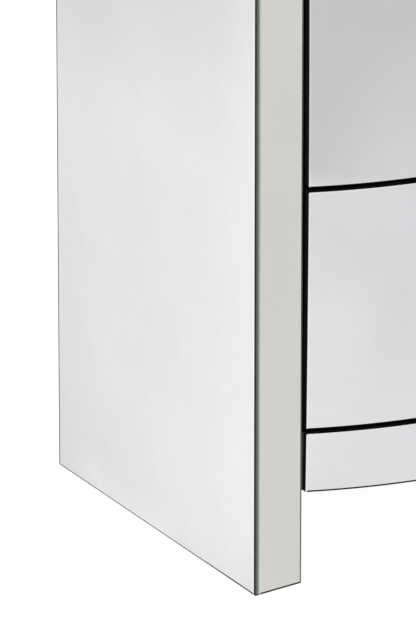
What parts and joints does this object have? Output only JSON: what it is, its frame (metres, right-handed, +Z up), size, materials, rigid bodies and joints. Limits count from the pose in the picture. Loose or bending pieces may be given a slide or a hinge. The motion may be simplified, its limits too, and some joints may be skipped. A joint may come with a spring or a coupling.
{
  "type": "chest of drawers",
  "caption": "Mirror-clad chest of drawers with a bowed, slightly swelled front between flat side slabs; drawers run on telescopic channels.",
  "frame": {"origin": "on the floor, in the middle of the bounding box with the knobs included", "axes": "+Z up, front facing -Y, left side at -X"},
  "size_m": [0.6, 0.4438, 0.9],
  "materials": {
    "mirror": "silvered sheet glass with polished edges",
    "black_board": "fibreboard in satin black lacquer",
    "pine": "planed pine",
    "beech": "fluted beech dowel",
    "drawer_ply": "clear-lacquered birch plywood",
    "back_board": "black-faced hardboard",
    "runner_steel": "zinc-plated folded steel",
    "zinc_steel": "bright zinc plate",
    "chrome": "polished chrome",
    "crystal": "clear cut crystal",
    "nylon": "black nylon"
  },
  "bodies": {
    "case": {"apron_board": "black_board", "apron_glue_blocks": "pine", "apron_mirror": "mirror", "back_cleats": "pine", "back_panel": "back_board", "back_panel_screws": "zinc_steel", "bottom_board": "black_board", "carcass_dowels": "beech", "case_runner_channels": "runner_steel", "case_runner_screws": "zinc_steel", "floor_glides": "nylon", "left_side_battens": "pine", "left_side_inner_skin": "black_board", "left_side_mirror": "mirror", "left_side_outer_skin": "black_board", "left_stile_mirror": "mirror", "lower_rail": "black_board", "right_side_battens": "pine", "right_side_inner_skin": "black_board", "right_side_mirror": "mirror", "right_side_outer_skin": "black_board", "right_stile_mirror": "mirror", "top_board": "black_board", "top_edge_mirror": "mirror", "top_mirror": "mirror", "upper_rail": "black_board"},
    "lower_drawer": {"lower_drawer_back": "drawer_ply", "lower_drawer_bottom": "drawer_ply", "lower_drawer_channels": "runner_steel", "lower_drawer_front": "black_board", "lower_drawer_left_side": "drawer_ply", "lower_drawer_mirror": "mirror", "lower_drawer_right_side": "drawer_ply", "lower_drawer_screws": "zinc_steel", "lower_knob_base": "chrome", "lower_knob_crystal": "crystal"},
    "middle_drawer": {"middle_drawer_back": "drawer_ply", "middle_drawer_bottom": "drawer_ply", "middle_drawer_channels": "runner_steel", "middle_drawer_front": "black_board", "middle_drawer_left_side": "drawer_ply", "middle_drawer_mirror": "mirror", "middle_drawer_right_side": "drawer_ply", "middle_drawer_screws": "zinc_steel", "middle_knob_base": "chrome", "middle_knob_crystal": "crystal"},
    "upper_drawer": {"upper_drawer_back": "drawer_ply", "upper_drawer_bottom": "drawer_ply", "upper_drawer_channels": "runner_steel", "upper_drawer_front": "black_board", "upper_drawer_left_side": "drawer_ply", "upper_drawer_mirror": "mirror", "upper_drawer_right_side": "drawer_ply", "upper_drawer_screws": "zinc_steel", "upper_knob_base": "chrome", "upper_knob_crystal": "crystal"},
    "lower_runner": {"lower_intermediate_channels": "runner_steel"},
    "middle_runner": {"middle_intermediate_channels": "runner_steel"},
    "upper_runner": {"upper_intermediate_channels": "runner_steel"}
  },
  "joints": [
    {"name": "lower_drawer_slide", "type": "slide", "parent": "case", "child": "lower_drawer", "axis": [0, -1, 0], "range_m": [0, 0.3]},
    {"name": "lower_runner_slide", "type": "slide", "parent": "case", "child": "lower_runner", "axis": [0, -1, 0], "range_m": [0, 0.15]},
    {"name": "middle_drawer_slide", "type": "slide", "parent": "case", "child": "middle_drawer", "axis": [0, -1, 0], "range_m": [0, 0.3]},
    {"name": "middle_runner_slide", "type": "slide", "parent": "case", "child": "middle_runner", "axis": [0, -1, 0], "range_m": [0, 0.15]},
    {"name": "upper_drawer_slide", "type": "slide", "parent": "case", "child": "upper_drawer", "axis": [0, -1, 0], "range_m": [0, 0.3]},
    {"name": "upper_runner_slide", "type": "slide", "parent": "case", "child": "upper_runner", "axis": [0, -1, 0], "range_m": [0, 0.15]}
  ],
  "couplings": [
    {"joint": "lower_runner_slide", "follows": "lower_drawer_slide", "ratio": 0.5},
    {"joint": "middle_runner_slide", "follows": "middle_drawer_slide", "ratio": 0.5},
    {"joint": "upper_runner_slide", "follows": "upper_drawer_slide", "ratio": 0.5}
  ]
}
